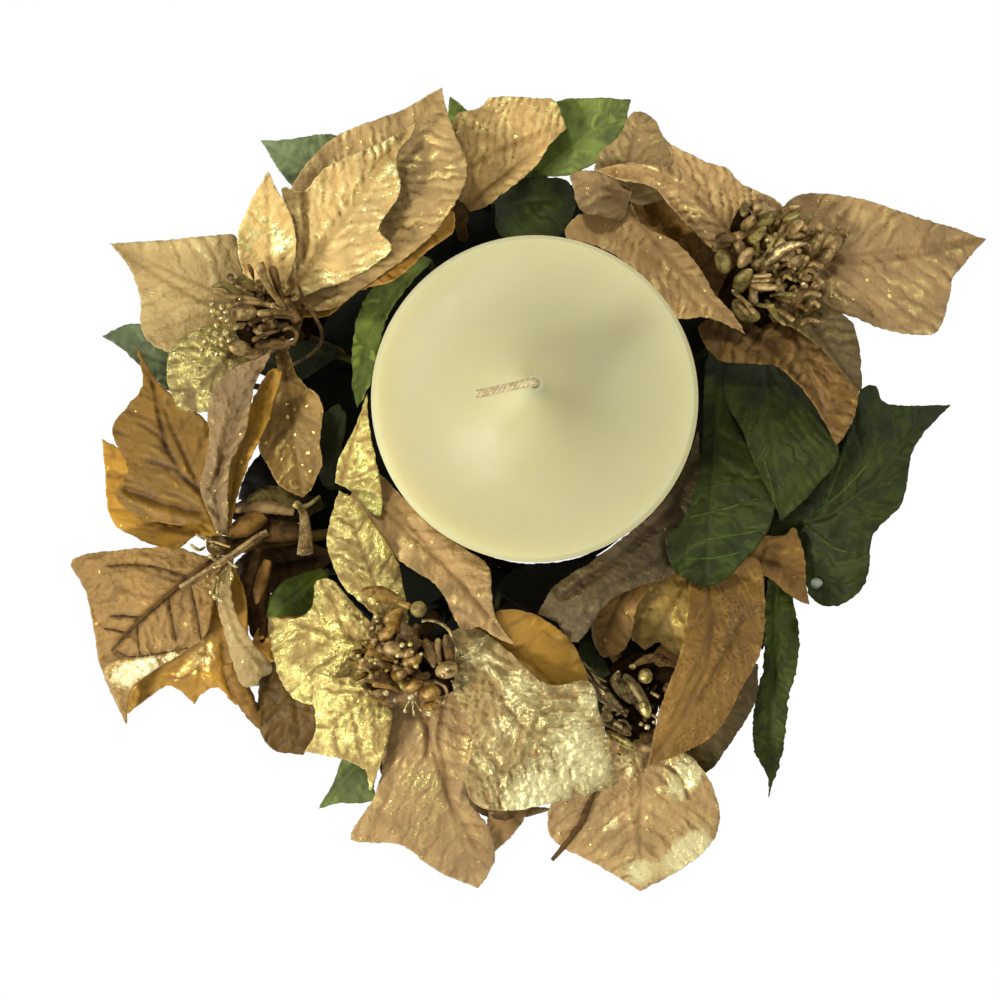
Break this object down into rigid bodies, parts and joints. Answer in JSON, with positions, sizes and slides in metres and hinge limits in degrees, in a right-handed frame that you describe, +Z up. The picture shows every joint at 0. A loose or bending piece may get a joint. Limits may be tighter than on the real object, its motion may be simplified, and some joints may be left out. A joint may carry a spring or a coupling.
{
  "type": "candle ring",
  "caption": "Artificial poinsettia wreath on a moulded ring, gold foil bracts and green leaves round a pillar candle that lifts out",
  "frame": {"origin": "the candle's axis on the plane that the ring and the candle stand on", "axes": "+Z up, +X to the right of the picture and along the longest side, +Y to its top"},
  "size_m": [0.2373, 0.2213, 0.1094],
  "materials": {
    "ring_plastic": "matt moulded plastic",
    "wax": "smooth candle wax",
    "wick_cotton": "braided cotton",
    "stamen_gold": "gold paint",
    "stem_wrap": "paper-wrapped wire",
    "leaf_green": "printed polyester, matt",
    "bract_gold": "gold foil print",
    "bract_amber": "amber satin print"
  },
  "bodies": {
    "ring": {"base_ring": "ring_plastic", "bract_a1": "bract_gold", "bract_a2": "bract_gold", "bract_a3": "bract_gold", "bract_a4": "bract_gold", "bract_a5": "bract_gold", "bract_a6": "bract_gold", "bract_a7": "bract_gold", "bract_b1": "bract_gold", "bract_c1": "bract_gold", "bract_c2": "bract_gold", "bract_c3": "bract_gold", "bract_c4": "bract_gold", "bract_d1": "bract_amber", "bract_d2": "bract_gold", "bract_d3": "bract_gold", "bract_d4": "bract_amber", "bract_d5": "bract_amber", "bract_d6": "bract_gold", "bract_d7": "bract_amber", "bract_e1": "bract_gold", "bract_e2": "bract_gold", "bract_e3": "bract_gold", "bract_e4": "bract_gold", "bract_e5": "bract_gold", "bract_e6": "bract_amber", "bract_f1": "bract_gold", "bract_f2": "bract_amber", "bract_h1": "bract_gold", "bract_h2": "bract_gold", "bract_h3": "bract_gold", "bract_j1": "bract_amber", "bract_j2": "bract_gold", "bract_j3": "bract_amber", "bract_j4": "bract_gold", "bract_j5": "bract_gold", "bract_k1": "bract_gold", "bract_k2": "bract_gold", "leaf_1": "leaf_green", "leaf_2": "leaf_green", "leaf_3": "leaf_green", "leaf_4": "leaf_green", "leaf_5": "leaf_green", "leaf_6": "leaf_green", "leaf_7": "leaf_green", "leaf_stems": "stem_wrap", "small_leaves": "leaf_green", "stamens_a": "stamen_gold", "stamens_c": "stamen_gold", "stamens_d": "stamen_gold", "stamens_e": "stamen_gold", "stamens_f": "stamen_gold", "stem_a": "stem_wrap", "stem_c": "stem_wrap", "stem_d": "stem_wrap", "stem_e": "stem_wrap", "stem_f": "stem_wrap", "wire_stems": "stem_wrap"},
    "candle": {"candle_wax": "wax", "wick": "wick_cotton"}
  },
  "joints": [
    {"name": "candle_lift", "type": "slide", "parent": "ring", "child": "candle", "axis": [0, 0, 1], "range_m": [0, 0.12]}
  ]
}
